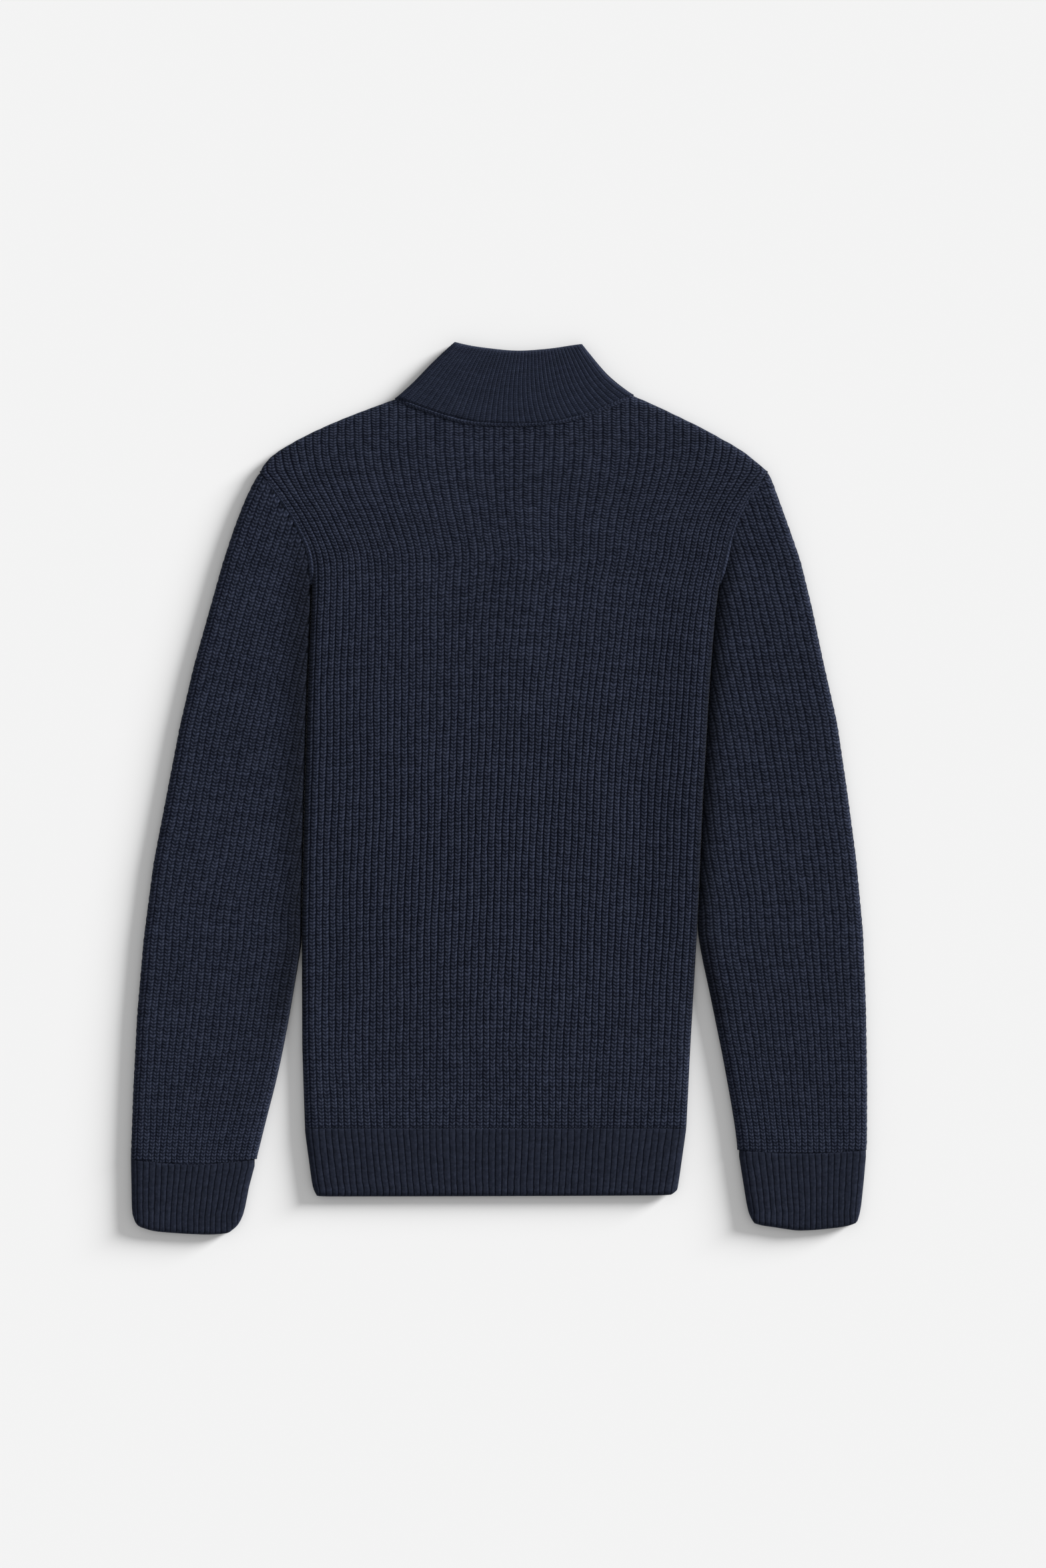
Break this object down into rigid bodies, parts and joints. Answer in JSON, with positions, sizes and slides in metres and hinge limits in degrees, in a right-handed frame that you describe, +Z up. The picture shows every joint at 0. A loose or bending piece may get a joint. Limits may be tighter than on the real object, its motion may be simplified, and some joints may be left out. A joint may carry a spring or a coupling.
{
  "type": "full-zip sweater laid flat",
  "caption": "Full-zip sweater in chunky rib knit with a stand collar, ribbed hem and cuffs, lying flat on its front with the back up.",
  "frame": {"origin": "on the surface that the sweater lies on, at the middle of its outline's box", "axes": "+X to the right as seen from above, +Y from the hem to the collar, +Z up, out of the sweater's back"},
  "size_m": [0.6436, 0.7803, 0.0102],
  "materials": {
    "body_knit": "chunky half-cardigan rib in dark navy yarn, matt with a blue-grey heather",
    "band_knit": "firm rib in dark navy yarn, matt",
    "zip_tape": "woven navy tape",
    "zip_metal": "dark gunmetal, satin"
  },
  "bodies": {
    "sweater": {"back": "body_knit", "front_left": "body_knit", "front_right": "body_knit", "sleeve_left": "body_knit", "sleeve_right": "body_knit", "hem_back": "band_knit", "hem_front_left": "band_knit", "hem_front_right": "band_knit", "cuff_left": "band_knit", "cuff_right": "band_knit", "collar_back": "band_knit", "collar_front_left": "band_knit", "collar_front_right": "band_knit", "zip_tape_left": "zip_tape", "zip_tape_right": "zip_tape", "zip_box": "zip_metal", "zip_slider": "zip_metal"},
    "pull_tab": {"zip_pull_tab": "zip_metal"}
  },
  "joints": [
    {"name": "pull_tab_hinge", "type": "hinge", "parent": "sweater", "child": "pull_tab", "pos_m": [0.01506, 0.3331, 0.00115], "axis": [0.9996, -0.0286, 0], "range_deg": [0, 160]}
  ]
}
